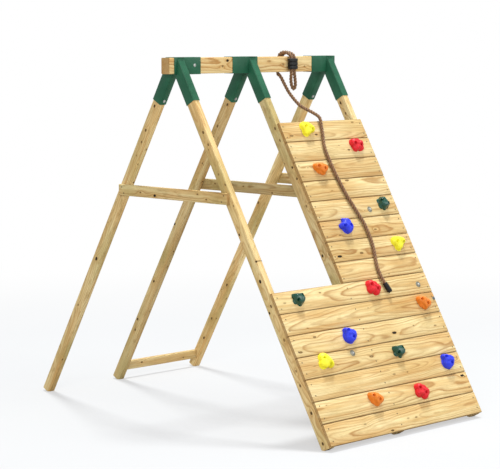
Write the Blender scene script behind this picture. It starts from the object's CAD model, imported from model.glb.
"""Looks for the garden climbing wall: pine boards and frames, green steel brackets,
moulded holds with their screws, a three-strand rope, floor, light and camera.

Three A-frames stand along x under a beam. The boards lean on the front legs, towards -y,
and the floor is at z = 0. Lengths are in metres."""

import math

import bmesh
import bpy
import numpy as np
from mathutils import Matrix, Vector

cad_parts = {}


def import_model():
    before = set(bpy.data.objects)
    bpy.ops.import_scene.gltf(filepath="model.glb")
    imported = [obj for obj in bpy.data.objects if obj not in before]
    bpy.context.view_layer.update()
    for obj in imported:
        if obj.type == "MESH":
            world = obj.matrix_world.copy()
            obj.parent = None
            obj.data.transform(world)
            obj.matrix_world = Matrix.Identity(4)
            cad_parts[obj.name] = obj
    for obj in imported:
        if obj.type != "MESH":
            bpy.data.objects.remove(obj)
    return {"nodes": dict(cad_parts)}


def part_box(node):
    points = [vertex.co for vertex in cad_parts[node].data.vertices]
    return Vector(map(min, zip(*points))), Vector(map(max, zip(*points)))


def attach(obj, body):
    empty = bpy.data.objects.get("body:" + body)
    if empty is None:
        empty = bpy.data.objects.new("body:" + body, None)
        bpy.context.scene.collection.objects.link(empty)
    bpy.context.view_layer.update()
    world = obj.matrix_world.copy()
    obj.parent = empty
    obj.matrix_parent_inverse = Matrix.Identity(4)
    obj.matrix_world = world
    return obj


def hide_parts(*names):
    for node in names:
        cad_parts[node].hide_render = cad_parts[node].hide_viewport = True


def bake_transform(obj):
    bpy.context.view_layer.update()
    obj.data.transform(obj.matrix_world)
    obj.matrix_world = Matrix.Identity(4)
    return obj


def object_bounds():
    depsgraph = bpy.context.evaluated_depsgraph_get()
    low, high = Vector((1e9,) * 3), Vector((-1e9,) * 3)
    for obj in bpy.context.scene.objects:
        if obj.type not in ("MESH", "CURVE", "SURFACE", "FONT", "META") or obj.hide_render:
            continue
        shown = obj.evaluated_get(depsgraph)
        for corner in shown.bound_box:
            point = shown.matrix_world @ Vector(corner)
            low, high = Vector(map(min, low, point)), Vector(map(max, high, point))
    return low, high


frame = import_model()
CAD_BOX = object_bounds()
NODES = frame["nodes"]
bpy.context.scene.view_settings.view_transform = "Standard"

# ------------------------------------------------------------ driving dimensions
BEAM_Z = 2.10
FOOT_SPREAD, TOP_SPREAD = 1.229, 0.024      # a leg's centre line from the beam's, in y
FRAME_X = (0.0, 0.592, 1.287)               # frame centre planes, from the first one
LEG_W, LEG_D = 0.045, 0.065
GAP = 0.0004                                # between touching pieces of timber
LEAN = math.atan2(FOOT_SPREAD - TOP_SPREAD, BEAM_Z)
SIN, COS = math.sin(LEAN), math.cos(LEAN)
BOARD_W, PITCH, BOARD_T = 0.1305, 0.1326, 0.020
ROWS, SHORT_ROWS = 15, 8                    # the short rows are the top ones
WALL_TOP = 0.426                            # down the slope from the beam's centre
WALL_FACE = LEG_D / 2 + GAP + BOARD_T       # out from the legs' centre lines
CROSSBAR_T = 0.020
UP_SLOPE = Vector((0, SIN, COS))
OUT = Vector((0, -COS, SIN))
# turns x, y, z to along the wall, up the slope and out of it
WALL_TURN = Matrix(((1, 0, 0), (0, SIN, -COS), (0, COS, SIN)))

# the first A-frame's centre plane and the beam's middle, from the CAD pieces
_low, _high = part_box("leg_1_front")
FRAME_1_X = (_low.x + _high.x) / 2
_low, _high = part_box("top_beam")
BEAM_Y = (_low.y + _high.y) / 2


def world(x, y, z):
    """Point measured from the first A-frame in x and from the beam in y."""
    return Vector((x + FRAME_1_X, y + BEAM_Y, z))


def on_wall(x, down, out=0.0):
    """Point down the slope from the wall's top edge and out from the boards' faces."""
    down, out = down + WALL_TOP, out + WALL_FACE
    return world(x, -TOP_SPREAD - down * SIN - out * COS, BEAM_Z - down * COS + out * SIN)


def middle(node):
    low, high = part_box(node)
    return (low + high) / 2


def lin(red, green, blue):
    """sRGB 0-255 to linear."""
    return tuple((c / 255 / 12.92) if c / 255 <= 0.04045 else ((c / 255 + 0.055) / 1.055) ** 2.4
                 for c in (red, green, blue))


def scaled(colour, factor):
    return tuple(c * factor for c in colour)


# ------------------------------------------------------------ node building
class Net:
    """A material and short calls for adding its shader nodes."""

    def __init__(self, name):
        self.mat = bpy.data.materials.new(name)
        self.mat.use_nodes = True
        self.nodes = self.mat.node_tree.nodes
        self.links = self.mat.node_tree.links
        self.bsdf = self.nodes["Principled BSDF"]
        self._coord = None

    def new(self, kind, **props):
        node = self.nodes.new(kind)
        for key, value in props.items():
            setattr(node, key, value)
        return node

    def put(self, socket, value):
        """Links a socket, or sets a plain value."""
        if isinstance(value, bpy.types.NodeSocket):
            self.links.new(value, socket)
        elif isinstance(value, (tuple, list, Vector)) and socket.type == "RGBA":
            socket.default_value = (*tuple(value)[:3], 1.0)
        else:
            socket.default_value = value

    def math(self, operation, *values):
        node = self.new("ShaderNodeMath", operation=operation)
        for k, value in enumerate(values):
            self.put(node.inputs[k], value)
        return node.outputs[0]

    def add(self, first, second):
        return self.math("ADD", first, second)

    def sub(self, first, second):
        return self.math("SUBTRACT", first, second)

    def mul(self, first, second):
        return self.math("MULTIPLY", first, second)

    def muladd(self, value, factor, extra):
        return self.math("MULTIPLY_ADD", value, factor, extra)

    def greatest(self, values):
        most = values[0]
        for value in values[1:]:
            most = self.math("MAXIMUM", most, value)
        return most

    def vec(self, operation, first, second=None):
        node = self.new("ShaderNodeVectorMath", operation=operation)
        self.put(node.inputs[0], first)
        if second is not None:
            self.put(node.inputs[1], second)
        scalar = operation in ("DOT_PRODUCT", "LENGTH")
        return node.outputs["Value"] if scalar else node.outputs[0]

    def join(self, x, y, z):
        node = self.new("ShaderNodeCombineXYZ")
        for k, value in enumerate((x, y, z)):
            self.put(node.inputs[k], value)
        return node.outputs[0]

    def split(self, vector):
        node = self.new("ShaderNodeSeparateXYZ")
        self.put(node.inputs[0], vector)
        return node.outputs

    def coord(self):
        if self._coord is None:
            self._coord = self.new("ShaderNodeTexCoord").outputs["Object"]
        return self._coord

    def normal(self):
        return self.new("ShaderNodeNewGeometry").outputs["Normal"]

    def noise(self, place, scale, detail=3.0, rough=0.5, colour=False):
        node = self.new("ShaderNodeTexNoise")
        self.put(node.inputs["Vector"], place)
        node.inputs["Scale"].default_value = scale
        node.inputs["Detail"].default_value = detail
        node.inputs["Roughness"].default_value = rough
        return node.outputs["Color" if colour else "Fac"]

    def ramp(self, value, stops, ease="LINEAR"):
        """Colour ramp. stops: (position, grey level or linear colour)."""
        node = self.new("ShaderNodeValToRGB")
        node.color_ramp.interpolation = ease
        elements = node.color_ramp.elements
        while len(elements) < len(stops):
            elements.new(0.5)
        for element, (at, colour) in zip(elements, stops):
            element.position = at
            rgb = colour if isinstance(colour, tuple) else (colour,) * 3
            element.color = (*rgb, 1.0)
        self.put(node.inputs[0], value)
        return node.outputs[0]

    def mix(self, share, first, second, blend="MIX"):
        node = self.new("ShaderNodeMix", data_type="RGBA", blend_type=blend)
        self.put(node.inputs[0], share)
        self.put(node.inputs[6], first)
        self.put(node.inputs[7], second)
        return node.outputs[2]

    def step(self, value, low, high):
        """Smooth rise from 0 at low to 1 at high."""
        node = self.new("ShaderNodeMapRange", interpolation_type="SMOOTHSTEP")
        self.put(node.inputs["Value"], value)
        node.inputs["From Min"].default_value = low
        node.inputs["From Max"].default_value = high
        return node.outputs[0]

    def bump(self, height, distance, strength):
        node = self.new("ShaderNodeBump")
        self.put(node.inputs["Height"], height)
        node.inputs["Distance"].default_value = distance
        node.inputs["Strength"].default_value = strength
        return node.outputs[0]

    def done(self, colour, rough, normal, metal=0.0, **more):
        """Fills the Principled shader. more: other inputs, with _ for a space."""
        self.put(self.bsdf.inputs["Base Color"], colour)
        self.put(self.bsdf.inputs["Roughness"], rough)
        self.put(self.bsdf.inputs["Metallic"], metal)
        self.put(self.bsdf.inputs["Normal"], normal)
        for key, value in more.items():
            self.put(self.bsdf.inputs[key.replace("_", " ")], value)
        return self.mat


# ------------------------------------------------------------ pine
PALE = lin(238, 219, 167)
MIDDLE = lin(222, 191, 134)
LATE = lin(170, 120, 62)
HONEY = lin(204, 156, 94)
WARM = lin(214, 160, 98)
KNOT = lin(104, 74, 34)
KNOT_EDGE = lin(34, 24, 13)
KNOT_HALO = lin(186, 138, 66)
GREENISH = lin(178, 168, 106)
STAIN, GREEN_STAIN = lin(188, 158, 100), lin(168, 140, 86)
WORN_EDGE = lin(132, 98, 54)
END_GRAIN = lin(150, 108, 58)
DRIFT = ((0.32, lin(255, 255, 255)), (0.68, lin(237, 227, 210)))
# one year's ring: pale early wood darkening slowly into late wood
RING = ((0.0, 0.10), (0.16, 0.0), (0.50, 0.22), (0.84, 1.0), (1.0, 0.10))


def add_knots(net, x, y, z, radius, knots, stretch):
    """Bends the rings round the knots. Returns the ring radius and masks of the knots'
    bodies, dark rims and stained surroundings."""
    bodies, rims, halos = [], [], []
    ragged = net.noise(net.coord(), scale=170.0, detail=2.0)
    for knot_x, knot_side, size, dark, plane in knots:
        along = net.add(x, -knot_x)
        side = net.add(z if plane else y, -knot_side)
        along, side = net.mul(along, along), net.mul(side, side)
        far = net.math("SQRT", net.muladd(along, 0.16, side))
        bend = net.math("POWER", 2.718, net.mul(far, -1.0 / (size * 1.7)))
        radius = net.muladd(bend, size * 1.9, radius)
        near = net.muladd(ragged, size * 0.5, net.math("SQRT", net.muladd(along, stretch, side)))
        body = net.mul(net.sub(1.0, net.step(near, low=size * 0.95, high=size * 1.35)), dark)
        # the darkest knots are black through, the milder ones only round their rim
        heart = net.mul(net.sub(1.0, net.step(near, low=size * 0.55, high=size * 1.05)),
                        max(0.0, 0.75 - 0.75 * max(0.0, dark - 0.7) / 0.3) * dark)
        bodies.append(body)
        rims.append(net.sub(body, heart))
        halos.append(net.mul(bend, 0.55 * dark))
    return radius, net.greatest(bodies), net.greatest(rims), net.greatest(halos)


def pine(name, seed, centre, along, across, knots, tone, green, spacing,
         ring_depth=0.85, warm=0.0, honey=0.55, edge=None, stretch=0.5):
    """Sawn pine. along and across are unit vectors of the piece. knots: (along, across,
    radius, darkness, plane), plane 0 through the depth, 1 through the width. spacing is
    between rings. edge: half the width, for a piece whose long edges have weathered
    darker. A smaller stretch gives knots longer along the grain."""
    rng = np.random.RandomState(seed)
    net = Net(name)
    place = net.vec("SUBTRACT", net.coord(), centre)
    x = net.vec("DOT_PRODUCT", place, along)
    y = net.vec("DOT_PRODUCT", place, across)
    z = net.vec("DOT_PRODUCT", place, along.cross(across))
    shift = [float(v) for v in rng.uniform(-20, 20, 9)]

    def grain(along_scale, cross_scale, start, side_start=None, detail=2.0, rough=0.5,
              colour=False):
        """Noise drawn out along the grain."""
        side = net.mul(y, cross_scale)
        if side_start is not None:
            side = net.add(side, side_start)
        return net.noise(net.join(net.add(net.mul(x, along_scale), start), side,
                                  net.mul(z, cross_scale)),
                         scale=1.0, detail=detail, rough=rough, colour=colour)

    def from_pith(axis, pith, tilt, wander, amount):
        return net.add(net.add(axis, -pith), net.add(net.mul(x, tilt), net.mul(wander, amount)))

    # slow wander of the grain, and a finer waviness
    slow = grain(1.5, 5.0, shift[0], shift[1], colour=True)
    slow = net.split(net.vec("SUBTRACT", slow, (0.5, 0.5, 0.5)))
    wave = grain(7.0, 26.0, shift[2])
    wave = net.mul(net.sub(wave, 0.5), 0.0075)
    # the pith: its slope against the piece and its place in the cross section
    tilt_y, tilt_z = rng.uniform(-0.025, 0.025), rng.uniform(-0.045, 0.045)
    pith_y = rng.uniform(-0.035, 0.035)
    pith_z = rng.choice((-1, 1)) * rng.uniform(0.022, 0.06)
    ring_y = from_pith(y, pith_y, tilt_y, slow[0], 0.070)
    ring_z = from_pith(z, pith_z, tilt_z, slow[1], 0.060)
    radius = net.math("SQRT", net.add(net.mul(ring_y, ring_y), net.mul(ring_z, ring_z)))
    radius = net.add(radius, wave)
    radius, body, rim, halo = add_knots(net, x, y, z, radius, knots, stretch)

    late = net.ramp(net.math("FRACT", net.math("DIVIDE", radius, spacing)), RING, "EASE")
    # every ring has its own strength
    year = net.new("ShaderNodeTexWhiteNoise", noise_dimensions="1D")
    ring_number = net.math("FLOOR", net.math("DIVIDE", radius, spacing))
    net.put(year.inputs["W"], net.add(ring_number, shift[6]))
    late = net.mul(late, net.muladd(year.outputs["Value"], 0.75, 0.40))
    fibre = grain(9.0, 420.0, shift[3], detail=3.0, rough=0.65)
    streak = grain(1.6, 34.0, shift[4], detail=3.0, rough=0.6)
    cloud = grain(2.6, 7.0, shift[5])
    band = grain(0.9, 17.0, shift[7], shift[8], rough=0.55)
    drift = grain(1.9, 3.0, shift[2])
    stain = grain(14.0, 38.0, shift[0], shift[1], detail=3.0, rough=0.6)

    # early wood, honey bands and late wood
    colour = net.mix(net.step(streak, low=0.38, high=0.62), scaled(PALE, tone),
                     scaled(MIDDLE, tone))
    colour = net.mix(net.mul(net.step(band, low=0.48, high=0.70), honey), colour,
                     scaled(HONEY, tone))
    colour = net.mix(net.mul(late, ring_depth), colour, scaled(LATE, tone))
    # green tinge, slow drift, stains and fibres
    colour = net.mix(net.mul(net.step(cloud, low=0.42, high=0.74), green), colour, GREENISH)
    colour = net.mix(1.0, colour, net.ramp(drift, DRIFT), "MULTIPLY")
    colour = net.mix(net.mul(net.step(stain, low=0.54, high=0.70), 0.18 + 0.62 * green), colour,
                     scaled(GREEN_STAIN if green > 0.45 else STAIN, tone))
    if warm:
        colour = net.mix(warm, colour, WARM)
    colour = net.mix(1.0, colour, net.ramp(fibre, ((0.25, 0.78), (0.62, 1.05))), "MULTIPLY")
    colour = net.mix(halo, colour, KNOT_HALO)
    colour = net.mix(body, colour,
                     net.mix(net.step(fibre, low=0.3, high=0.7), KNOT, scaled(KNOT, 1.7)))
    colour = net.mix(rim, colour, KNOT_EDGE)
    if edge is not None:
        margin = net.sub(edge, net.math("ABSOLUTE", y))
        margin = net.muladd(net.sub(streak, 0.5), 0.006, margin)
        worn = net.sub(1.0, net.step(margin, low=0.0002, high=0.0065))
        colour = net.mix(net.mul(worn, 0.62), colour, WORN_EDGE)
    # end grain drinks more and looks darker
    facing = net.math("ABSOLUTE", net.vec("DOT_PRODUCT", net.normal(), along))
    colour = net.mix(net.mul(net.step(facing, low=0.75, high=0.95), 0.55), colour, END_GRAIN)

    # late wood and fibres stand up, knot rims sink; late wood is a little shinier
    height = net.muladd(late, 0.35, net.mul(fibre, 0.8))
    height = net.muladd(rim, -0.8, height)
    rough = net.muladd(streak, 0.22, net.muladd(late, -0.10, 0.66))
    return net.done(colour, rough, net.bump(height, distance=0.0010, strength=0.65),
                    IOR=1.42, Specular_IOR_Level=0.30)


# ------------------------------------------------------------ other materials
def green_paint(name, seed):
    """Green paint, mottled, with edges rubbed paler in patches."""
    net = Net(name)
    shift = np.random.RandomState(seed).uniform(-9, 9)
    place = net.vec("ADD", net.coord(), (shift, shift, 0))
    cloud = net.noise(place, scale=9.0, detail=3.0, rough=0.6)
    grain = net.noise(place, scale=900.0, detail=2.0, rough=0.6)
    peel = net.noise(place, scale=260.0, detail=2.0, rough=0.5)
    colour = net.ramp(cloud, ((0.30, lin(27, 80, 56)), (0.55, lin(35, 92, 66)),
                              (0.78, lin(44, 104, 76))))
    colour = net.mix(net.mul(net.step(grain, low=0.62, high=0.74), 0.10), colour,
                     lin(74, 142, 112))
    # edges are where the rounded normal turns away from the true one
    bevel = net.new("ShaderNodeBevel", samples=4)
    bevel.inputs["Radius"].default_value = 0.0035
    turn = net.vec("DOT_PRODUCT", bevel.outputs[0], net.normal())
    patches = net.noise(place, scale=38.0, detail=4.0, rough=0.7)
    worn = net.mul(net.step(net.sub(1.0, turn), low=0.03, high=0.22),
                   net.step(patches, low=0.42, high=0.62))
    colour = net.mix(net.mul(worn, 0.40), colour, lin(92, 150, 124))
    normal = net.bump(net.muladd(grain, 0.35, peel), distance=0.0003, strength=0.30)
    return net.done(colour, net.muladd(cloud, 0.16, 0.30), normal, Specular_IOR_Level=0.28)


def steel(name, metal):
    net = Net(name)
    cloud = net.noise(net.coord(), scale=160.0, detail=4.0, rough=0.6)
    colour = net.ramp(cloud, ((0.3, lin(146, 148, 146)), (0.7, lin(206, 208, 204))))
    grain = net.noise(net.coord(), scale=1500.0, detail=2.0)
    return net.done(colour, net.muladd(cloud, 0.25, 0.24),
                    net.bump(grain, distance=0.0001, strength=0.4), metal=metal)


def dark_metal(name, tint):
    net = Net(name)
    cloud = net.noise(net.coord(), scale=240.0, detail=3.0, rough=0.6)
    colour = net.ramp(cloud, ((0.3, scaled(tint, 0.6)), (0.7, tint)))
    return net.done(colour, net.muladd(cloud, 0.3, 0.30),
                    net.bump(cloud, distance=0.0002, strength=0.3), metal=0.8)


def black_plastic(name):
    net = Net(name)
    grain = net.noise(net.coord(), scale=700.0, detail=3.0, rough=0.6)
    cloud = net.noise(net.coord(), scale=45.0, detail=3.0, rough=0.6)
    colour = net.ramp(cloud, ((0.3, lin(13, 13, 14)), (0.7, lin(30, 29, 29))))
    return net.done(colour, net.muladd(cloud, 0.2, 0.38),
                    net.bump(grain, distance=0.0003, strength=0.35), Specular_IOR_Level=0.35)


def moulded(name, rgb, seed, gloss):
    """Pigmented resin: faint mottling, darker specks, a fine cast grain and pale dust."""
    net = Net(name)
    base = lin(*rgb)
    shift = float(np.random.RandomState(seed).uniform(-9, 9))
    place = net.vec("ADD", net.coord(), (shift, 0, shift))
    cloud = net.noise(place, scale=42.0, detail=4.0, rough=0.6)
    grain = net.noise(place, scale=1100.0, detail=3.0, rough=0.7)
    pit = net.noise(place, scale=320.0, detail=2.0, rough=0.5)
    lighter = tuple(min(1.0, c * 1.10 + 0.012) for c in base)
    colour = net.ramp(cloud, ((0.28, scaled(base, 0.82)), (0.55, base), (0.80, lighter)))
    speck = net.mul(net.step(pit, low=0.64, high=0.74), 0.30)
    colour = net.mix(speck, colour, scaled(base, 0.55))
    dust = net.mul(net.step(grain, low=0.60, high=0.82), 0.05)
    colour = net.mix(dust, colour, lin(240, 236, 226))
    rough = net.muladd(cloud, 0.22, 0.34 - 0.16 * gloss)
    height = net.muladd(grain, 0.5, net.mul(pit, -0.6))
    return net.done(colour, rough, net.bump(height, distance=0.0005, strength=0.35 - 0.15 * gloss),
                    Specular_IOR_Level=0.32 + 0.25 * gloss)


def laid_fibre(name):
    """Rope strands: fine yarns that slant across each strand, darker in the lay's grooves."""
    net = Net(name)
    layout = net.new("ShaderNodeUVMap")
    layout.uv_map = "lay"
    along, around, _ = net.split(layout.outputs[0])
    groove = net.new("ShaderNodeAttribute", attribute_name="groove").outputs["Fac"]
    # 330 yarns a metre along the rope, 9 round it
    yarn = net.math("FRACT", net.muladd(along, 330.0, net.mul(around, 9.0)))
    yarn = net.ramp(yarn, ((0.0, 0.0), (0.5, 1.0), (1.0, 0.0)), "EASE")
    fuzz = net.noise(net.coord(), scale=900.0, detail=4.0, rough=0.7)
    cloud = net.noise(net.coord(), scale=30.0, detail=3.0, rough=0.6)
    colour = net.ramp(cloud, ((0.3, lin(126, 88, 53)), (0.7, lin(160, 118, 74))))
    colour = net.mix(net.mul(net.sub(1.0, yarn), 0.45), colour, lin(93, 60, 37))
    colour = net.mix(net.mul(net.step(fuzz, low=0.55, high=0.75), 0.45), colour,
                     lin(192, 150, 102))
    colour = net.mix(net.mul(net.step(groove, low=0.15, high=0.95), 0.80), colour,
                     lin(56, 36, 25))
    normal = net.bump(net.muladd(fuzz, 0.6, yarn), distance=0.0007, strength=0.7)
    return net.done(colour, rough=0.82, normal=normal, Sheen_Weight=0.25)


# ------------------------------------------------------------ mesh helpers
def link(name, mesh):
    obj = bpy.data.objects.new(name, mesh)
    bpy.context.scene.collection.objects.link(obj)
    return obj


def finish(obj, mat, body="frame", stands_for=None):
    """Gives an object its material, slot, the CAD piece it replaces and the body it rides."""
    obj.data.materials.clear()
    obj.data.materials.append(mat)
    if stands_for:
        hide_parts(stands_for)
    if body:
        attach(obj, body)


def piece(name, mesh, mat, body="frame", stands_for=None):
    finish(link(name, mesh), mat, body, stands_for)


def from_arrays(name, verts, faces):
    mesh = bpy.data.meshes.new(name)
    mesh.from_pydata([tuple(map(float, v)) for v in verts], [], faces)
    mesh.polygons.foreach_set("use_smooth", [True] * len(mesh.polygons))
    mesh.update()
    return mesh


def shade(form, sharp):
    """Smooth shading, with edges above the sharp angle (radians) kept crisp."""
    for face in form.faces:
        face.smooth = True
    for edge in form.edges:
        if len(edge.link_faces) == 2 and edge.calc_face_angle() > sharp:
            edge.smooth = False


def close(name, form, sharp):
    """Turns a bmesh into a shaded mesh."""
    shade(form, sharp)
    mesh = bpy.data.meshes.new(name)
    form.to_mesh(mesh)
    form.free()
    return mesh


def turn_to(direction):
    """Turns z to the direction."""
    return Vector((0, 0, 1)).rotation_difference(Vector(direction).normalized()).to_matrix()


def ring(form, at, turn, height, radii):
    """Vertices round the turned z axis, one radius for each."""
    steps = len(radii)
    return [form.verts.new(at + turn @ Vector((radius * math.cos(2 * math.pi * k / steps),
                                               radius * math.sin(2 * math.pi * k / steps),
                                               height)))
            for k, radius in enumerate(radii)]


def loft(form, rings):
    """Joins rings, bottom to top, into a body with flat ends."""
    for lower, upper in zip(rings, rings[1:]):
        for k in range(len(lower)):
            n = (k + 1) % len(lower)
            form.faces.new((lower[k], lower[n], upper[n], upper[k]))
    form.faces.new(list(reversed(rings[0])))
    form.faces.new(rings[-1])


def lathe(name, profile, at, direction, steps, sharp=0.6):
    """Closed body of revolution. profile: (radius, height), starting and ending on the
    axis."""
    turn = turn_to(direction)
    form = bmesh.new()
    rings = [ring(form, at, turn, height, [radius] * (1 if radius < 1e-7 else steps))
             for radius, height in profile]
    for upper, lower in zip(rings, rings[1:]):
        for k in range(steps):
            n = (k + 1) % steps
            if len(upper) == 1:
                form.faces.new((upper[0], lower[k], lower[n]))
            elif len(lower) == 1:
                form.faces.new((upper[k], lower[0], upper[n]))
            else:
                form.faces.new((upper[k], lower[k], lower[n], upper[n]))
    bmesh.ops.recalc_face_normals(form, faces=form.faces)
    return close(name, form, sharp)


def smooth_by_angle():
    """Geometry nodes group: welds a CAD mesh's split corners and shades it smooth below
    an angle, without touching the mesh itself."""
    group = bpy.data.node_groups.new("soft_shading", "GeometryNodeTree")
    for in_out in ("INPUT", "OUTPUT"):
        group.interface.new_socket("Geometry", in_out=in_out, socket_type="NodeSocketGeometry")
    nodes, links = group.nodes, group.links
    source, result = nodes.new("NodeGroupInput"), nodes.new("NodeGroupOutput")
    weld = nodes.new("GeometryNodeMergeByDistance")
    weld.inputs["Distance"].default_value = 0.00002
    face = nodes.new("GeometryNodeSetShadeSmooth")
    face.domain = "FACE"
    face.inputs["Shade Smooth"].default_value = True
    edge = nodes.new("GeometryNodeSetShadeSmooth")
    edge.domain = "EDGE"
    angle = nodes.new("GeometryNodeInputMeshEdgeAngle")
    less = nodes.new("FunctionNodeCompare")
    less.data_type, less.operation = "FLOAT", "LESS_THAN"
    less.inputs[1].default_value = math.radians(50)
    links.new(angle.outputs[0], less.inputs[0])
    links.new(source.outputs[0], weld.inputs[0])
    links.new(weld.outputs[0], face.inputs[0])
    links.new(face.outputs[0], edge.inputs[0])
    links.new(less.outputs[0], edge.inputs["Shade Smooth"])
    links.new(edge.outputs[0], result.inputs[0])
    return group


SOFT = smooth_by_angle()


def dress(node, mat):
    """Puts a material and soft shading on a CAD piece."""
    obj = NODES[node]
    obj.data.materials.clear()
    obj.data.materials.append(mat)
    obj.modifiers.new("soft", "NODES").node_group = SOFT


# ------------------------------------------------------------ timber
# One generator for every piece of timber and the board screws, so their order matters.
rng = np.random.RandomState(5)
ALONG_X, ALONG_Y, ALONG_Z = Vector((1, 0, 0)), Vector((0, 1, 0)), Vector((0, 0, 1))


def dress_pine(node, seed, along, across, knots, **looks):
    dress(node, pine(f"pine_{node}", seed, middle(node), along, across, knots, **looks))


def random_knots(count, reach, side, radius, dark, plane=0):
    """Knots within reach along and side across; radius and dark are ranges."""
    return [(rng.uniform(-reach, reach), rng.uniform(-side, side), rng.uniform(*radius),
             rng.uniform(*dark), plane) for _ in range(count)]


# knots that stand out on the wall: along from the first A-frame, down the slope, radius, darkness
WALL_KNOTS = ((0.636, 0.893, 0.0085, 1.0), (0.834, 1.409, 0.0085, 1.0), (1.267, 1.744, 0.0075, 1.0),
              (0.855, 0.092, 0.0060, 0.85), (1.090, 0.208, 0.0055, 0.8), (0.832, 0.888, 0.0070, 0.72),
              (0.640, 0.091, 0.0070, 0.55), (0.960, 0.411, 0.0070, 0.70), (1.222, 0.021, 0.0060, 0.5),
              (1.035, 0.747, 0.0055, 0.55), (0.175, 1.354, 0.0060, 0.6), (0.022, 1.428, 0.0065, 0.7),
              (1.213, 1.408, 0.0055, 0.45), (0.566, 1.525, 0.0075, 0.62), (0.497, 1.975, 0.0060, 0.8),
              (0.692, 1.655, 0.0055, 0.4), (0.300, 1.905, 0.0050, 0.4))
# brightness and share of honey bands, one for each board from the top
TONES = (0.93, 0.92, 0.88, 0.92, 0.92, 0.93, 0.93, 0.97, 0.96, 0.96, 0.96, 0.96, 0.98, 0.98, 0.98)
HONEYS = (0.45, 0.35, 0.70, 0.45, 0.60, 0.70, 0.60, 0.40, 0.55, 0.90, 0.50, 0.45, 0.60, 0.65, 0.50)


def dress_board(row):
    node = f"board_{row + 1:02d}"
    low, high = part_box(node)
    half = (high.x - low.x) / 2
    knots = [(x + FRAME_1_X - middle(node).x, row * PITCH + BOARD_W / 2 - down, radius, dark, 0)
             for x, down, radius, dark in WALL_KNOTS if int(down // PITCH) == row]
    knots += random_knots(1 if half < 0.5 else 2, half * 0.9, 0.048, (0.0025, 0.0050),
                          (0.30, 0.60))
    dress_pine(node, 100 + row, ALONG_X, UP_SLOPE, knots, tone=TONES[row], green=0.12,
               spacing=rng.uniform(0.0075, 0.0125), honey=HONEYS[row], edge=BOARD_W / 2,
               stretch=0.17, ring_depth=0.74)


# knots on the legs' sides: distance down from the beam centre, off the leg's centre line,
# radius, darkness
LEG_KNOTS = {
    "leg_1_front": ((0.444, 0.0075, 0.0060, 0.75), (0.525, 0.009, 0.0050, 0.7),
                    (0.712, 0.000, 0.0045, 0.5), (0.788, 0.019, 0.0045, 0.6),
                    (1.088, -0.020, 0.0050, 0.85), (1.278, 0.025, 0.0045, 0.9),
                    (1.391, -0.001, 0.0070, 1.0), (1.548, 0.008, 0.0060, 0.75),
                    (1.577, -0.0225, 0.0050, 1.0), (1.756, 0.008, 0.0055, 0.6),
                    (1.944, 0.007, 0.0050, 0.55), (2.027, -0.005, 0.0055, 0.75),
                    (2.194, -0.001, 0.0060, 0.9), (2.375, -0.005, 0.0060, 0.85)),
    "leg_1_rear": ((0.278, 0.001, 0.0060, 0.9), (0.444, -0.003, 0.0060, 0.75),
                   (0.525, -0.006, 0.0050, 0.7), (0.900, 0.012, 0.0045, 0.5),
                   (1.381, -0.003, 0.0075, 1.0), (1.737, 0.001, 0.0055, 0.5)),
    "leg_2_front": ((0.444, 0.011, 0.0060, 0.75), (0.525, 0.011, 0.0050, 0.7),
                    (0.712, 0.022, 0.0050, 0.9), (0.788, 0.022, 0.0050, 0.8),
                    (0.965, 0.0125, 0.0050, 0.6), (1.278, -0.016, 0.0060, 0.95)),
    "leg_2_rear": ((0.278, -0.0125, 0.0060, 0.85), (0.438, -0.004, 0.0060, 0.7),
                   (0.519, -0.004, 0.0050, 0.7), (0.588, 0.017, 0.0050, 0.75),
                   (0.712, -0.004, 0.0045, 0.6), (1.188, 0.0225, 0.0060, 0.95),
                   (1.625, 0.004, 0.0060, 0.85), (1.937, 0.0125, 0.0060, 0.85),
                   (2.012, -0.004, 0.0055, 0.75)),
    "leg_3_front": ((0.278, -0.011, 0.0060, 0.85), (0.356, -0.005, 0.0055, 0.7)),
    "leg_3_rear": ((0.580, 0.008, 0.0050, 0.6), (1.075, 0.016, 0.0060, 0.75),
                   (1.725, -0.013, 0.0060, 0.8), (2.012, -0.005, 0.0055, 0.75),
                   (2.175, -0.009, 0.0060, 0.9)),
}
LEG_KNOT_SCALE = 1.25
LEG_TONES = {"leg_2_front": 0.86, "leg_2_rear": 0.95, "leg_3_rear": 1.25}
OTHER_LEG_TONE = 1.07
SIDES = (("front", -1), ("rear", 1))        # the sign of y


def dress_leg(number, side, sign):
    node = f"leg_{number}_{side}"
    down = Vector((0, sign * SIN, -COS))
    outward = Vector((0, sign * COS, SIN))
    top = world(FRAME_X[number - 1], sign * TOP_SPREAD, BEAM_Z)
    half_way = (middle(node) - top).dot(down)
    knots = [(along - half_way, off, radius * LEG_KNOT_SCALE, dark, 0)
             for along, off, radius, dark in LEG_KNOTS[node]]
    knots += random_knots(2, 1.1, 0.024, (0.003, 0.005), (0.4, 0.6))
    knots += random_knots(4, 1.1, 0.016, (0.003, 0.006), (0.4, 0.8), plane=1)
    dress_pine(node, 200 + 2 * number + (sign > 0), down, outward, knots,
               tone=LEG_TONES.get(node, OTHER_LEG_TONE), green=0.60, spacing=0.0065,
               honey=0.35, ring_depth=0.6)


# along from the first A-frame, height, radius, darkness
BEAM_KNOTS = ((0.388, 2.1275, 0.0085, 1.0), (0.347, 2.094, 0.0065, 0.6), (0.866, 2.101, 0.0050, 0.6),
              (0.745, 2.120, 0.0045, 0.4), (1.060, 2.086, 0.0050, 0.5))


def dress_beam():
    start = FRAME_1_X - middle("top_beam").x
    knots = [(x + start, z - BEAM_Z, radius, dark, 0) for x, z, radius, dark in BEAM_KNOTS]
    knots += [(0.05, 0.008, 0.006, 0.7, 1), (-0.45, -0.006, 0.006, 0.6, 1)]
    dress_pine("top_beam", 301, ALONG_X, ALONG_Z, knots, tone=1.07, green=0.10,
               spacing=0.0075, warm=0.12, honey=0.5)


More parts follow.
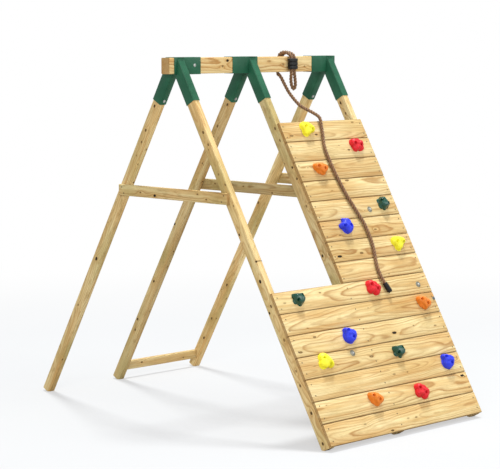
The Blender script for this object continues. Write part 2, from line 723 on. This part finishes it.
def dress_crossbar(number):
    knots = [(rng.uniform(-0.4, 0.4), rng.uniform(-0.02, 0.02), 0.005, 0.7, 0)
             for _ in range(3)]
    if number == 1:
        knots.append((0.145, -0.017, 0.0085, 1.0, 0))
    dress_pine(f"crossbar_{number}", 310 + number, ALONG_Y, ALONG_Z, knots,
               tone=0.70 if number == 2 else 1.0, green=0.50, spacing=0.0075)


for row in range(ROWS):
    dress_board(row)
for i in (1, 2, 3):
    for side, sign in SIDES:
        dress_leg(i, side, sign)
dress_beam()
for i in (1, 2, 3):
    dress_crossbar(i)
dress_pine("ground_rail", 320, ALONG_X, ALONG_Z,
           [(-0.18, 0.006, 0.006, 0.8, 0), (0.2, -0.01, 0.005, 0.7, 0)],
           tone=0.96, green=0.30, spacing=0.0075, honey=0.7)

# ------------------------------------------------------------ brackets, bolts and screws
for i in (1, 2, 3):
    dress(f"bracket_{i}", green_paint(f"green_bracket_{i}", seed=40 + i))
ZINC = steel("zinc_plate", metal=0.85)
DULL = dark_metal("dull_screw", lin(120, 104, 78))
PLATED = steel("plated_nut", metal=0.35)
BLUED = dark_metal("blued_bolt", lin(104, 118, 136))
DULL_ZINC = dark_metal("dull_zinc_washer", lin(150, 148, 132))
SOCKET = dark_metal("socket_black", lin(26, 25, 24))

# lathe profiles: (radius, height)
BOLT_PROFILE = ((0.0, 0.0064), (0.0022, 0.0062), (0.0044, 0.0055), (0.0060, 0.0042),
                (0.0068, 0.0027), (0.0070, 0.0019), (0.0096, 0.0018), (0.0102, 0.0013),
                (0.0102, 0.0004), (0.0040, 0.0003), (0.0040, -0.0235), (0.0, -0.0235))
WASHER_PROFILE = ((0.0, 0.0010), (0.0088, 0.0010), (0.0094, 0.0022), (0.0104, 0.0030),
                  (0.0160, 0.0026), (0.0180, 0.0018), (0.0188, 0.0010), (0.0188, 0.0004),
                  (0.0040, 0.0003), (0.0040, -0.0070), (0.0, -0.0070))
CAP_PROFILE = ((0.0, 0.0100), (0.0028, 0.0098), (0.0052, 0.0088), (0.0070, 0.0070),
               (0.0080, 0.0046), (0.0084, 0.0012), (0.0, 0.0012))
BOLT_SEAT = 0.0056      # from the CAD bolt's outer end back to the profile's zero


def dome_bolt(name, node, direction):
    """Domed bolt head on a washer, over the CAD bolt it stands for."""
    direction = Vector(direction).normalized()
    points = [Vector(v.co) for v in NODES[node].data.vertices]
    outermost = max(points, key=lambda point: point.dot(direction))
    mean = sum(points, Vector()) / len(points)
    at = mean + direction * ((outermost - mean).dot(direction) - BOLT_SEAT)
    piece(name, lathe(name, BOLT_PROFILE, at, direction, steps=36), ZINC, stands_for=node)


for i in (1, 2, 3):
    dome_bolt(f"bolt_head_beam_{i}", f"beam_bolt_{i}", (0, -1 if i == 1 else 1, 0))
    for side, sign in SIDES:
        dome_bolt(f"bolt_head_leg_{i}_{side}", f"leg_bolt_{i}_{side}", (0, -sign * COS, -SIN))

SCREW_R, SCREW_PROUD, SCREW_STEPS = 0.0042, 0.0004, 16


def screws(name, places):
    """Countersunk cross-head screws, joined into one piece: (point, outward direction)."""
    top = SCREW_PROUD + 0.0004
    rim = [1.0] * SCREW_STEPS
    cross = [1.35 if k % 4 == 0 else 0.62 for k in range(SCREW_STEPS)]
    profile = ((SCREW_R, -0.0012, rim), (SCREW_R, SCREW_PROUD, rim), (SCREW_R * 0.80, top, rim),
               (SCREW_R * 0.42, top, cross), (SCREW_R * 0.30, -0.0010, cross))
    form = bmesh.new()
    for at, direction in places:
        turn = turn_to(direction)
        loft(form, [ring(form, at, turn, height, [radius * share for share in outline])
                    for radius, height, outline in profile])
    piece(name, close(name, form, sharp=0.5), DULL)


def board_screw_places():
    """Two screws per board and frame, none on the first frame in the short rows."""
    places = []
    for row in range(ROWS):
        short = row < SHORT_ROWS
        for i, x in enumerate(FRAME_X, 1):
            if i == 1 and short:
                continue
            off = 0.004 if i == 1 else 0.006 if i == 2 and short else -0.002
            for down in (0.030, 0.100):
                places.append((on_wall(x + off + rng.uniform(-0.003, 0.003),
                                       row * PITCH + down + rng.uniform(-0.004, 0.004)), OUT))
    return places


def crossbar_screw_places():
    """Two screws at each end of each crossbar, on its outer side."""
    end_y, bar_z = 0.434, 1.347
    places = []
    for i, x in enumerate(FRAME_X, 1):
        side = -1 if i == 1 else 1
        face = x + side * (LEG_W / 2 + GAP + CROSSBAR_T)
        for sign in (-1, 1):
            for rise in (-0.018, 0.018):
                places.append((world(face, sign * (end_y + rise * 0.5), bar_z + rise),
                               (side, 0, 0)))
    return places


screws("board_screws", board_screw_places())
screws("crossbar_screws", crossbar_screw_places())


def capped_nut(name, at, cap, size=1.0):
    """Dull cupped washer under a domed cap."""
    for part, profile, mat in (("washer", WASHER_PROFILE, DULL_ZINC), ("cap", CAP_PROFILE, cap)):
        profile = [(radius * size, height) for radius, height in profile]
        part_name = f"{name}_{part}"
        piece(part_name, lathe(part_name, profile, at, OUT, steps=40), mat)


# washered nuts where a hold can be moved to: along, down the slope
for n, (x, down) in enumerate(((1.056, 0.614), (1.211, 1.134), (0.423, 1.485)), 1):
    capped_nut(f"spare_nut_{n}", on_wall(x, down), PLATED)
capped_nut("edge_bolt", on_wall(1.297, 1.237), BLUED, size=0.62)

# ------------------------------------------------------------ holds
# lobes: the outline (x, y up the slope, radius); height; holes: screw places;
# scale: of outline and holes; facet: how far the skin flattens to planes;
# lump: depth of its lumps; seed: of lumps and planes
KINDS = {
    "yellow": dict(
        lobes=((-0.012, 0.018, 0.025), (0.030, -0.020, 0.021), (-0.024, -0.016, 0.025),
               (-0.006, -0.004, 0.028)),
        height=0.042, holes=((0.012, -0.025), (-0.018, 0.014)),
        scale=1.09, rgb=(243, 235, 50), facet=0.0, lump=0.0050, seed=3),
    "red": dict(
        lobes=((-0.018, 0.022, 0.025), (0.028, -0.009, 0.021), (0.008, -0.024, 0.022),
               (-0.026, -0.008, 0.023), (0.004, 0.008, 0.024)),
        height=0.044, holes=((-0.028, 0.016), (0.005, -0.016)),
        scale=1.08, rgb=(217, 28, 40), facet=0.15, lump=0.0060, seed=8),
    "orange": dict(
        lobes=((-0.021, 0.017, 0.026), (0.024, -0.010, 0.023), (0.002, -0.022, 0.023),
               (-0.002, 0.010, 0.020), (-0.020, -0.008, 0.020)),
        height=0.044, holes=((-0.030, 0.014), (0.002, -0.017)),
        scale=1.02, rgb=(226, 124, 36), facet=0.1, lump=0.0052, seed=12),
    "green": dict(
        lobes=((-0.022, 0.020, 0.019), (0.030, 0.016, 0.018), (0.002, -0.028, 0.019),
               (-0.028, -0.012, 0.018), (0.026, -0.014, 0.018), (0.0, 0.0, 0.032)),
        height=0.044, holes=((0.019, 0.012), (-0.026, -0.012)),
        scale=0.95, rgb=(10, 70, 55), facet=0.75, lump=0.0030, seed=21),
    "blue": dict(
        lobes=((-0.008, -0.008, 0.036), (0.014, -0.004, 0.031), (-0.013, 0.029, 0.017),
               (0.034, 0.014, 0.016), (0.004, -0.024, 0.024)),
        height=0.045, holes=((0.004, -0.020), (-0.018, 0.025)),
        scale=1.04, rgb=(42, 58, 220), facet=0.1, lump=0.0050, seed=33),
}
# colour, along, down the slope, turn in degrees
HOLDS = (
    ("yellow", 0.784, 0.050, 25), ("red", 1.169, 0.180, 25), ("orange", 0.764, 0.320, 17),
    ("green", 1.187, 0.586, -60), ("blue", 0.779, 0.709, 61), ("yellow", 1.174, 0.849, 42),
    ("red", 0.801, 1.116, 2), ("green", 0.157, 1.118, 0), ("orange", 1.183, 1.254, -1),
    ("blue", 0.442, 1.380, 0), ("green", 0.797, 1.524, 4), ("yellow", 0.174, 1.505, 0),
    ("blue", 1.176, 1.641, 5), ("orange", 0.452, 1.774, 0), ("red", 0.855, 1.788, -2),
)
HOLD_AROUND, HOLD_UP = 96, 30
HOLD_BASE = 0.0003          # a hold's underside above the boards
DOME_R = 0.045              # round outline that a hold tends to as it rises
# bore for a screw: (radius, height above its floor)
BORE_PROFILE = ((0.0, 0.06), (0.0190, 0.06), (0.0085, 0.018), (0.0066, 0.008),
                (0.0062, 0.0), (0.0, 0.0))
BORE_FLOOR = 0.016
# pan-head screw: (radius, height, whether the ring is the hexagon socket's)
PAN_HEAD = ((0.0050, 0.0, False), (0.0050, 0.0026, False), (0.0043, 0.0034, False),
            (0.0024, 0.0034, True), (0.0022, 0.0010, True))
PAN_STEPS, PAN_LIFT = 24, 0.0006


def outline_reach(lobes, angles):
    """Outline distance per angle: a soft union of the lobes' far edges."""
    total = np.zeros(len(angles))
    tightness = 260.0
    ray_x, ray_y = np.cos(angles), np.sin(angles)
    for x, y, radius in lobes:
        along, across = x * ray_x + y * ray_y, x * ray_y - y * ray_x
        inside = np.clip(radius * radius - across * across, 0, None)
        edge = along + np.sqrt(inside)
        edge = np.where(np.abs(across) < radius, edge, 0.0)
        total += np.exp(tightness * edge) - 1.0
    return np.log(total + 1.0) / tightness


def lumps(points, seed, frequency):
    """Smooth deterministic 3-D lumps from a few sine waves, about -1 to 1."""
    draw = np.random.RandomState(seed)
    total = np.zeros(len(points))
    for _ in range(7):
        wave = draw.normal(size=3)
        wave /= np.linalg.norm(wave)
        total += np.sin(points @ (wave * frequency * draw.uniform(0.6, 1.7))
                        + draw.uniform(0, 6.28))
    return total / 3.2


def facet_cut(offset, away, seed):
    """How far points, as offsets from the hold's middle, stand outside a few planes."""
    draw = np.random.RandomState(seed)
    planes = []
    for n in range(9):
        turn = 2 * math.pi * n / 9 + draw.uniform(-0.2, 0.2)
        rise = draw.uniform(0.25, 0.6)
        planes.append((math.cos(turn) * math.cos(rise), math.sin(turn) * math.cos(rise),
                       math.sin(rise)))
    for n in range(4):
        turn = 2 * math.pi * n / 4 + 0.5
        planes.append((math.cos(turn) * 0.35, math.sin(turn) * 0.35, 0.94))
    planes = np.array(planes)
    planes /= np.linalg.norm(planes, axis=1)[:, None]
    nearest = np.full(len(offset), 1e9)
    for plane in planes:
        distance = 0.83 * np.percentile(offset @ plane, 99) / np.clip(away @ plane, 0.05, None)
        nearest = np.minimum(nearest, distance)
    return np.minimum(0.0, nearest - np.linalg.norm(offset, axis=1))


def hold_points(kind):
    """Rings of a dome from its foot up, then the tip, pushed in and out for the skin."""
    height, seed, lump = kind["height"], kind["seed"], kind["lump"]
    angles = np.arange(HOLD_AROUND) * 2 * math.pi / HOLD_AROUND
    reach = outline_reach(kind["lobes"], angles)
    rings = []
    for j in range(HOLD_UP):
        lift = math.sin(j / (HOLD_UP - 1) * math.pi / 2) ** 1.05
        share = max(0.0, 1 - lift ** 2.7) ** (1 / 2.3)
        blend = 0.48 * lift
        radius = kind["scale"] * (reach * (1 - blend) + DOME_R * blend) * share
        # the top undulates twice round
        top = 1.0 + 0.06 * np.cos(angles * 2 + 1.0) * min(1.0, max(0.0, (lift - 0.3) / 0.3))
        rings.append(np.stack([radius * np.cos(angles), radius * np.sin(angles),
                               HOLD_BASE + height * 1.01 * lift * top], 1))
    points = np.concatenate(rings[:-1] + [rings[-1].mean(0, keepdims=True)])
    offset = points - np.array([0, 0, height * 0.30])
    away = offset / np.linalg.norm(offset, axis=1)[:, None]
    push = lumps(points, seed, 95.0) * lump
    push += lumps(points, seed + 1, 230.0) * lump * 0.22
    if kind["facet"]:
        push += kind["facet"] * facet_cut(offset, away, seed)
    # the foot keeps its outline
    free = np.clip(points[:, 2] / 0.010, 0, 1)
    points = points + away * (np.clip(push, -0.012, 0.0025) * free)[:, None]
    points[:, 2] = np.clip(points[:, 2], HOLD_BASE, height * 1.08)
    return points


def hold_mesh(name, kind, turn, at):
    points = hold_points(kind)
    around = HOLD_AROUND
    faces = []
    for j in range(HOLD_UP - 2):
        for k in range(around):
            n = (k + 1) % around
            faces.append((j * around + k, j * around + n, (j + 1) * around + n,
                          (j + 1) * around + k))
    tip = len(points) - 1
    last = (HOLD_UP - 2) * around
    for k in range(around):
        faces.append((last + k, last + (k + 1) % around, tip))
    faces.append(tuple(reversed(range(around))))
    return from_arrays(name, points @ np.array(turn).T + np.array(at), faces)


def bore(obj, cutters):
    """Cuts the screw holes and keeps the result as the object's own mesh."""
    for n, cutter in enumerate(cutters):
        cut = obj.modifiers.new(f"bore_{n}", "BOOLEAN")
        cut.operation, cut.solver, cut.object = "DIFFERENCE", "EXACT", cutter
    bpy.context.view_layer.update()
    graph = bpy.context.evaluated_depsgraph_get()
    mesh = bpy.data.meshes.new_from_object(obj.evaluated_get(graph))
    obj.modifiers.clear()
    obj.data = mesh
    for cutter in cutters:
        bpy.data.objects.remove(cutter, do_unlink=True)
    form = bmesh.new()
    form.from_mesh(mesh)
    bmesh.ops.triangulate(form, faces=form.faces[:])  # no slivers folded flat on the rims
    form.normal_update()
    shade(form, sharp=0.75)
    form.to_mesh(mesh)
    form.free()


def socket_screws(name, places, outward):
    """Pan-head screws with a hexagon socket at the bottom of the bores."""
    form = bmesh.new()
    turn = turn_to(outward)
    angles = [2 * math.pi * k / PAN_STEPS for k in range(PAN_STEPS)]
    for at in places:
        loft(form, [ring(form, at, turn, height,
                         [radius / math.cos((angle % (math.pi / 3)) - math.pi / 6) * 0.93
                          if hexagon else radius for angle in angles])
                    for radius, height, hexagon in PAN_HEAD])
    piece(name, close("grip_screws", form, sharp=0.5), SOCKET)


def add_hold(label, colour, at, spin, seed):
    kind = KINDS[colour]
    turn = WALL_TURN @ Matrix.Rotation(math.radians(spin), 3, "Z")
    outward = turn @ Vector((0, 0, 1))
    mesh = hold_mesh(f"grip_{label}", kind, turn, at)
    mat = moulded(f"resin_hold_{label}", kind["rgb"], seed, gloss=float(colour == "green"))
    obj = link(f"grip_{label}", mesh)
    cutters, heads = [], []
    for x, y in kind["holes"]:
        foot = at + (turn @ Vector((x, y, 0.0))) * kind["scale"]
        start = foot + outward * BORE_FLOOR
        cutters.append(link("bore", lathe("bore", BORE_PROFILE, start, outward, steps=28)))
        heads.append(start + outward * PAN_LIFT)
    bore(obj, cutters)
    finish(obj, mat, stands_for=f"hold_{label}")
    socket_screws(f"grip_screws_{label}", heads, outward)


count = {}
for n, (colour, x, down, spin) in enumerate(HOLDS):
    count[colour] = count.get(colour, 0) + 1
    add_hold(f"{colour}_{count[colour]}", colour, on_wall(x, down), spin, seed=n)

# ------------------------------------------------------------ rope
ROPE_OUT, ROPE_R = 0.0125, 0.0110           # centre line above the boards, radius
LAY = 0.057                                 # length of one full turn of the strands
FRONT, BACK = -0.0545, 0.0485               # where the rope hangs beside the beam, in y
CLAMP_X = 0.934
LEFT, RIGHT = CLAMP_X - 0.013, CLAMP_X + 0.013
SECTION = 36

# joints between the bodies the rope rides on: 1 and 2 as (x, y, z) for world, 3 and 4 as
# (along, down) on the wall
JOINT_1, JOINT_2 = (0.871, 0.001, 2.034), (0.925, -0.2905, 1.7765)
JOINT_3, JOINT_4 = (0.896, 0.530), (0.941, 0.847)
# centre line, as (x, y, z) for world: up behind the beam, over it and down the front to
# the bottom of the loop, back over the beam, then down to the wall
RIGHT_STRAND = (
    (0.942, BACK, 2.075), (0.942, BACK, 2.125), (0.943, 0.0435, 2.157),
    (0.944, 0.015, 2.172), (0.946, -0.018, 2.170), (RIGHT, -0.046, 2.156),
    (RIGHT, FRONT, 2.138), (RIGHT, FRONT, 2.120), (RIGHT, FRONT, 2.070),
    (RIGHT, FRONT, 2.050), (0.955, FRONT, 2.000),
    (0.957, FRONT, 1.977), (0.953, FRONT, 1.957), (0.942, FRONT, 1.947))
LEFT_STRAND = (
    (0.930, FRONT, 1.956), (0.922, FRONT, 1.975), (0.917, FRONT, 2.004),
    (LEFT, FRONT, 2.050), (LEFT, FRONT, 2.070), (LEFT, FRONT, 2.120),
    (LEFT, FRONT, 2.138), (0.920, -0.046, 2.156),
    (0.918, -0.018, 2.172), (0.916, 0.015, 2.174), (0.915, 0.0435, 2.157),
    (0.914, BACK, 2.125), (0.911, BACK, 2.075), (0.903, 0.0450, 2.0425),
    (0.888, 0.0230, 2.0350))
TO_WALL = (
    JOINT_1, (0.874, -0.016, 2.013), (0.877, -0.036, 1.980), (0.885, -0.077, 1.919),
    (0.897, -0.142, 1.855), (0.906, -0.190, 1.829), (0.916, -0.244, 1.806), JOINT_2)
# on down the wall, as (along, down)
DOWN_WALL = (
    (0.916, 0.045), (0.899, 0.101), (0.875, 0.165), (0.866, 0.220), (0.867, 0.300),
    (0.873, 0.390), (0.886, 0.480), JOINT_3, (0.911, 0.585), (0.926, 0.640),
    (0.942, 0.700), (0.9465, 0.750), (0.946, 0.800), JOINT_4, (0.931, 0.890),
    (0.918, 0.935), (0.905, 0.985))
# lifting to the end cap, as (along, down, out)
TO_CAP = ((0.900, 1.035, 0.0135), (0.901, 1.070, 0.0155))
CAP_START, CAP_END = on_wall(0.9055, 1.100, 0.0165), on_wall(0.9240, 1.162, 0.0165)
CAP_DIR = (CAP_END - CAP_START).normalized()
ROPE_IN_CAP = 0.026


def catmull(points, step=0.0024):
    """Smooth path through the points, then evenly spaced."""
    padded = [2 * points[0] - points[1], *points, 2 * points[-1] - points[-2]]
    dense = []
    for before, start, end, after in zip(padded, padded[1:], padded[2:], padded[3:]):
        n = max(2, int((end - start).length / 0.0012))
        for k in range(n):
            t = k / n
            dense.append(0.5 * (2 * start + (end - before) * t
                                + (2 * before - 5 * start + 4 * end - after) * t * t
                                + (3 * start - before - 3 * end + after) * t ** 3))
    dense.append(points[-1])
    dense = np.array([tuple(point) for point in dense])
    travel = lengths_along(dense)
    n = max(4, int(round(travel[-1] / step)))
    at = np.linspace(0, travel[-1], n + 1)
    return np.stack([np.interp(at, travel, dense[:, k]) for k in range(3)], 1)


def lengths_along(points):
    return np.concatenate([[0], np.cumsum(np.linalg.norm(np.diff(points, axis=0), axis=1))])


def soften(points, passes):
    for _ in range(passes):
        points[1:-1] = points[1:-1] * 0.5 + (points[:-2] + points[2:]) * 0.25
    return points


def sides_along(points):
    """Two directions square to the path at each point, carried along without twist."""
    tangents = np.gradient(points, axis=0)
    tangents /= np.linalg.norm(tangents, axis=1)[:, None]
    side = np.cross(tangents[0], (0.3, 0.2, 1.0))
    side /= np.linalg.norm(side)
    sides = [side]
    for tangent in tangents[1:]:
        side = sides[-1] - tangent * (sides[-1] @ tangent)
        sides.append(side / np.linalg.norm(side))
    sides = np.array(sides)
    return sides, np.cross(tangents, sides)


def section_radius(angles):
    """Outline of three strands side by side, as distance from the rope's middle."""
    offset = strand = ROPE_R * 0.50
    delta = (angles + math.pi / 3) % (2 * math.pi / 3) - math.pi / 3
    return offset * np.cos(delta) + np.sqrt(
        np.clip(strand * strand - (offset * np.sin(delta)) ** 2, 0, None))


ANGLES = np.arange(SECTION) * 2 * math.pi / SECTION
OUTLINE = section_radius(ANGLES)
GROOVE = 1 - (OUTLINE - OUTLINE.min()) / (OUTLINE.max() - OUTLINE.min())
ROPE_MAT = laid_fibre("rope_yarn")

path = soften(catmull([world(*p) for p in RIGHT_STRAND + LEFT_STRAND + TO_WALL]
                      + [on_wall(*p, ROPE_OUT) for p in DOWN_WALL]
                      + [on_wall(*p) for p in TO_CAP]
                      + [CAP_START, CAP_START + CAP_DIR * ROPE_IN_CAP]), passes=3)
side_1, side_2 = sides_along(path)
run = lengths_along(path)


def mark_rope(mesh, first):
    """Crisp ends, the UV map (metres along, turns round) and the groove depth."""
    form = bmesh.new()
    form.from_mesh(mesh)
    bmesh.ops.recalc_face_normals(form, faces=form.faces)
    for face in form.faces:
        if len(face.verts) > 4:
            for edge in face.edges:
                edge.smooth = False
    layer = form.loops.layers.uv.new("lay")
    for face in form.faces:
        steps = [vert.index % SECTION for vert in face.verts]
        wraps = max(steps) - min(steps) > SECTION // 2
        for loop in face.loops:
            j, k = divmod(loop.vert.index, SECTION)
            around = (k + SECTION if wraps and k < SECTION // 2 else k) / SECTION
            loop[layer].uv = (run[first + j], around)
    form.to_mesh(mesh)
    form.free()
    groove = mesh.attributes.new("groove", "FLOAT", "POINT")
    groove.data.foreach_set(
        "value", np.tile(GROOVE, len(mesh.vertices) // SECTION).astype(np.float32))


def rope_piece(name, first, last, body, stands_for):
    """The rope from one ring of the path to another, with both ends closed."""
    verts, faces = [], []
    for i in range(first, last + 1):
        angles = ANGLES + 2 * math.pi * run[i] / LAY
        verts.append(path[i] + OUTLINE[:, None] * (np.cos(angles)[:, None] * side_1[i]
                                                   + np.sin(angles)[:, None] * side_2[i]))
    for j in range(last - first):
        for k in range(SECTION):
            n = (k + 1) % SECTION
            faces.append((j * SECTION + k, j * SECTION + n, (j + 1) * SECTION + n,
                          (j + 1) * SECTION + k))
    faces.append(tuple(reversed(range(SECTION))))
    faces.append(tuple((last - first) * SECTION + k for k in range(SECTION)))
    mesh = from_arrays(name, np.concatenate(verts), faces)
    mesh.polygons[-1].use_smooth = False
    mesh.polygons[-2].use_smooth = False
    mark_rope(mesh, first)
    obj = link(name, mesh)
    finish(obj, ROPE_MAT, body, stands_for)
    return obj


def ring_near(point, after):
    distance = np.linalg.norm(path[after:] - np.array(tuple(point)), axis=1)
    return after + int(distance.argmin())


# the search for the loop's end starts past the right strand, which passes close by
past_start = len(path) // 4
joints = [ring_near(world(*JOINT_1), past_start)]
joints += [ring_near(point, joints[0]) for point in (
    world(*JOINT_2), on_wall(*JOINT_3, ROPE_OUT), on_wall(*JOINT_4, ROPE_OUT))]
loop_end = ring_near(world(*LEFT_STRAND[-2]), past_start)
# each piece runs to half way between two joints
cuts = [loop_end, *((a + b) // 2 for a, b in zip(joints, joints[1:])), len(path) - 1]
# how far the bend reaches before and after each joint
BEND_REACH = ((0.010, 0.050), (0.055, 0.055), (0.040, 0.110), (0.036, 0.110))

rope_piece("rope_over_beam", 0, loop_end, "frame", "rope_loop")
for n, (joint, first, last, (back, ahead)) in enumerate(
        zip(joints, cuts, cuts[1:], BEND_REACH), 1):
    obj = rope_piece(f"rope_bend_{n}", first, last, None, f"rope_{n}")
    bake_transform(obj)

BLACK = black_plastic("black_moulding")


def end_cap():
    """Cap on the rope's end, with five moulded grip rings."""
    length = (CAP_END - CAP_START).length
    grip, neck = 0.0156, 0.0136
    profile = [(0.0, length), (0.0070, length), (0.0105, length - 0.0010),
               (0.0128, length - 0.0040), (neck, length - 0.0080)]
    for k in range(5):
        top = length - 0.012 - k * 0.0085
        profile += [(grip, top), (grip, top - 0.0042), (neck, top - 0.0052),
                    (neck, top - 0.0075)]
    # the mouth turns in, with a floor inside
    profile += [(0.0142, 0.0040), (0.0132, 0.0004), (0.0118, 0.0), (0.0118, 0.030), (0.0, 0.030)]
    piece("rope_end_cap", lathe("rope_end_cap", profile, CAP_START, CAP_DIR, steps=40, sharp=0.5),
          BLACK, "rope_4", "rope_cap")


def clamp():
    """Three rounded bands round the two strands."""
    at = world(CLAMP_X, FRONT, 2.103)
    half_width, half_depth, height = 0.0345, 0.0185, 0.067
    band = height / 3
    end_inset = -0.0090
    squareness = 2 / 3.4
    steps = 56
    # one band: share of its height, growth of the outline
    swell = ((0.03, -0.0045), (0.06, -0.0020), (0.12, -0.0006), (0.25, 0.0), (0.5, 0.0004),
             (0.75, 0.0), (0.88, -0.0006), (0.94, -0.0020), (0.97, -0.0045))
    levels = [(-height / 2, end_inset)]
    for k in range(3):
        foot = -height / 2 + k * height / 3
        levels += [(foot + band * share, grow) for share, grow in swell]
    levels.append((height / 2, end_inset))
    form = bmesh.new()
    rings = []
    for z, grow in levels:
        outline = []
        for k in range(steps):
            angle = 2 * math.pi * k / steps
            cos, sin = math.cos(angle), math.sin(angle)
            x = (half_width + grow) * math.copysign(abs(cos) ** squareness, cos)
            y = (half_depth + grow) * math.copysign(abs(sin) ** squareness, sin)
            outline.append(form.verts.new(at + Vector((x, y, z))))
        rings.append(outline)
    loft(form, rings)
    piece("rope_clamp_bands", close("rope_clamp_bands", form, sharp=0.7), BLACK,
          stands_for="rope_clamp")


end_cap()
clamp()


# ------------------------------------------------------------ stage
def floor_paper():
    """Pale paper: bright for the camera, a mild bounce for everything else, and fading
    into the backdrop with distance so that no horizon shows."""
    net = Net("floor_paper")
    away = net.vec("LENGTH", net.vec("MULTIPLY", net.coord(), (1.0, 1.0, 0.0)))
    seen = net.new("ShaderNodeLightPath").outputs["Is Camera Ray"]
    tint = net.ramp(net.noise(net.coord(), scale=0.6, detail=2.0),
                    ((0.3, lin(247, 247, 248)), (0.7, lin(250, 250, 250))))
    surface = net.new("ShaderNodeBsdfDiffuse")
    net.put(surface.inputs["Color"], net.mix(seen, (0.42, 0.42, 0.42), (0.27, 0.273, 0.28)))
    glow = net.new("ShaderNodeEmission")
    net.put(glow.inputs["Color"], tint)
    net.put(glow.inputs["Strength"], net.mul(seen, 0.54))
    both = net.new("ShaderNodeAddShader")
    net.links.new(surface.outputs[0], both.inputs[0])
    net.links.new(glow.outputs[0], both.inputs[1])
    white = net.new("ShaderNodeEmission")
    white.inputs["Color"].default_value = (1.0, 1.0, 1.0, 1.0)
    net.put(white.inputs["Strength"], net.mix(seen, (0.6, 0.6, 0.6), (1.0, 1.0, 1.0)))
    fade = net.new("ShaderNodeMixShader")
    net.put(fade.inputs[0], net.step(away, low=2.2, high=7.0))
    net.links.new(both.outputs[0], fade.inputs[1])
    net.links.new(white.outputs[0], fade.inputs[2])
    output = next(n for n in net.nodes if n.type == "OUTPUT_MATERIAL")
    net.links.new(fade.outputs[0], output.inputs["Surface"])
    net.nodes.remove(net.bsdf)
    return net.mat


def add_floor():
    form = bmesh.new()
    bmesh.ops.create_circle(form, cap_ends=True, segments=64, radius=60.0)
    mesh = bpy.data.meshes.new("floor")
    form.to_mesh(mesh)
    form.free()
    floor = link("floor", mesh)
    floor.location.z = -0.0005
    mesh.materials.append(floor_paper())


def add_world():
    """Soft cool ambient light, behind a backdrop that the camera sees as pure white."""
    studio = bpy.data.worlds.new("studio")
    studio.use_nodes = True
    tree = studio.node_tree
    ambient = tree.nodes["Background"]
    ambient.inputs["Color"].default_value = (0.965, 0.985, 1.0, 1)
    ambient.inputs["Strength"].default_value = 0.64
    backdrop = tree.nodes.new("ShaderNodeBackground")
    backdrop.inputs["Color"].default_value = (1.0, 1.0, 1.0, 1)
    backdrop.inputs["Strength"].default_value = 1.0
    ray = tree.nodes.new("ShaderNodeLightPath")
    choose = tree.nodes.new("ShaderNodeMixShader")
    tree.links.new(ray.outputs["Is Camera Ray"], choose.inputs[0])
    tree.links.new(ambient.outputs[0], choose.inputs[1])
    tree.links.new(backdrop.outputs[0], choose.inputs[2])
    output = next(n for n in tree.nodes if n.type == "OUTPUT_WORLD")
    tree.links.new(choose.outputs[0], output.inputs["Surface"])
    bpy.context.scene.world = studio


def aim(obj, at, target):
    obj.location = at
    obj.rotation_euler = (Vector(target) - Vector(at)).to_track_quat("-Z", "Y").to_euler()


def area(name, at, target, size, energy, colour):
    data = bpy.data.lights.new(name, "AREA")
    data.shape, data.size, data.energy, data.color = "DISK", size, energy, colour
    aim(link(name, data), at, target)


def add_camera():
    low, high = CAD_BOX
    data = bpy.data.cameras.new("camera")
    camera = link("camera", data)
    aim(camera, world(-7.317, -7.94, 2.273),
        ((low.x + high.x) / 2 - 0.02, (low.y + high.y) / 2, 1.06))
    data.sensor_width = 36.0
    data.lens = 132.0
    data.clip_end = 200.0
    bpy.context.scene.camera = camera


add_floor()
add_world()
COOL = (0.965, 0.985, 0.975)
area("key", at=(2.05, 1.1, 13.4), target=(0, -0.2, 0.9), size=2.3, energy=1640, colour=COOL)
area("front", at=(3.5, -8.0, 5.0), target=(0, -0.2, 1.0), size=6.0, energy=315, colour=COOL)
area("fill", at=(-7.5, -5.5, 4.5), target=(0, 0, 1.0), size=5.0, energy=335,
     colour=(1.0, 0.985, 0.97))
add_camera()
